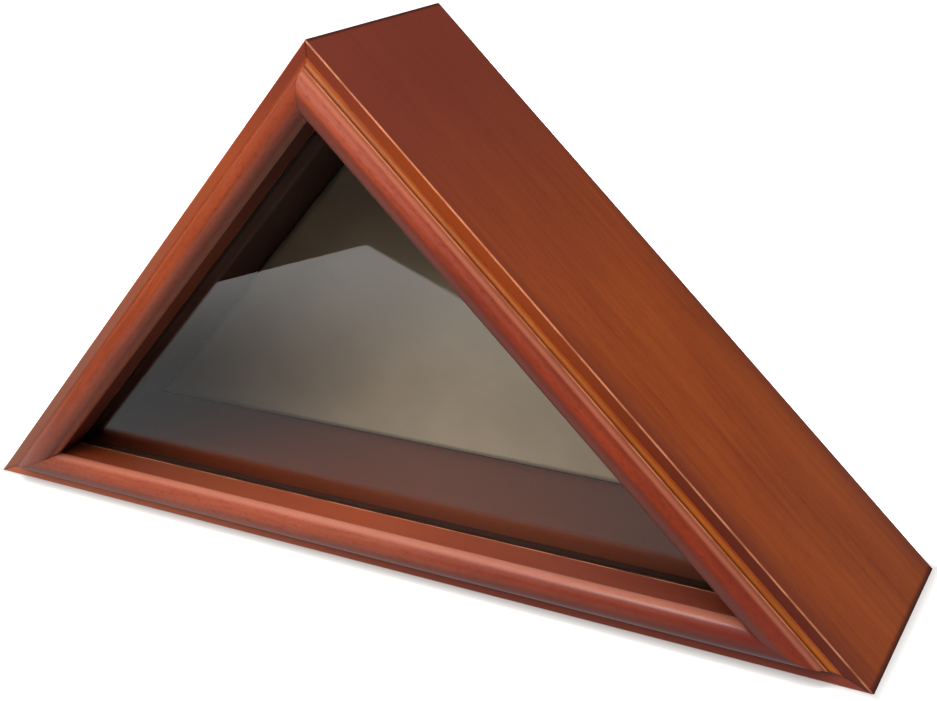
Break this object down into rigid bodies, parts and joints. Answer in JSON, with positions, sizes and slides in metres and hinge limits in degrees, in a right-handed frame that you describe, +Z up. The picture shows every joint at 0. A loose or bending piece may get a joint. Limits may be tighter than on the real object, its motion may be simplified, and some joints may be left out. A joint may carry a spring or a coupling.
{
  "type": "folded flag display case",
  "caption": "Triangular glazed wooden case that shows a folded flag, with mitred boards, a beaded front moulding and a lined back panel held by turn buttons.",
  "frame": {"origin": "middle of the base's underside, where the case stands", "axes": "+X along the base to the right as seen from the front, the glazed front faces -Y, +Z up"},
  "size_m": [0.406, 0.098, 0.203],
  "materials": {
    "case_wood": "red-brown stain under satin lacquer",
    "moulding_wood": "red-brown stain under gloss lacquer",
    "stop_wood": "black-brown stain, matt",
    "spline_wood": "bare",
    "pane_glass": "clear, polished",
    "panel_board": "bare hardboard",
    "lining_cloth": "grey-beige woven lining",
    "button_brass": "brass-plated, satin",
    "screw_brass": "brass-plated"
  },
  "bodies": {
    "case": {"bottom_board": "case_wood", "left_board": "case_wood", "right_board": "case_wood", "bottom_moulding": "moulding_wood", "left_moulding": "moulding_wood", "right_moulding": "moulding_wood", "glass_pane": "pane_glass", "bottom_glass_stop": "stop_wood", "left_glass_stop": "stop_wood", "right_glass_stop": "stop_wood", "right_corner_spline": "spline_wood", "apex_corner_spline": "spline_wood", "left_corner_spline": "spline_wood", "turn_button_screws": "screw_brass"},
    "back": {"back_panel": "panel_board", "backing_cloth": "lining_cloth"},
    "turn_button_bottom_1": {"turn_button_bottom_1": "button_brass"},
    "turn_button_bottom_2": {"turn_button_bottom_2": "button_brass"},
    "turn_button_right_1": {"turn_button_right_1": "button_brass"},
    "turn_button_right_2": {"turn_button_right_2": "button_brass"},
    "turn_button_left_1": {"turn_button_left_1": "button_brass"},
    "turn_button_left_2": {"turn_button_left_2": "button_brass"}
  },
  "joints": [
    {"name": "back_panel_slide", "type": "slide", "parent": "case", "child": "back", "axis": [0, 1, 0], "range_m": [0, 0.12]},
    {"name": "turn_button_bottom_1_turn", "type": "hinge", "parent": "case", "child": "turn_button_bottom_1", "pos_m": [-0.1, 0.0434, 0.0041], "axis": [0, -1, 0], "range_deg": [0, 90]},
    {"name": "turn_button_bottom_2_turn", "type": "hinge", "parent": "case", "child": "turn_button_bottom_2", "pos_m": [0.1, 0.0434, 0.0041], "axis": [0, -1, 0], "range_deg": [0, 90]},
    {"name": "turn_button_right_1_turn", "type": "hinge", "parent": "case", "child": "turn_button_right_1", "pos_m": [0.14456, 0.0434, 0.05264], "axis": [0, -1, 0], "range_deg": [0, 90]},
    {"name": "turn_button_right_2_turn", "type": "hinge", "parent": "case", "child": "turn_button_right_2", "pos_m": [0.05264, 0.0434, 0.14456], "axis": [0, -1, 0], "range_deg": [0, 90]},
    {"name": "turn_button_left_1_turn", "type": "hinge", "parent": "case", "child": "turn_button_left_1", "pos_m": [-0.05264, 0.0434, 0.14456], "axis": [0, -1, 0], "range_deg": [0, 90]},
    {"name": "turn_button_left_2_turn", "type": "hinge", "parent": "case", "child": "turn_button_left_2", "pos_m": [-0.14456, 0.0434, 0.05264], "axis": [0, -1, 0], "range_deg": [0, 90]}
  ]
}
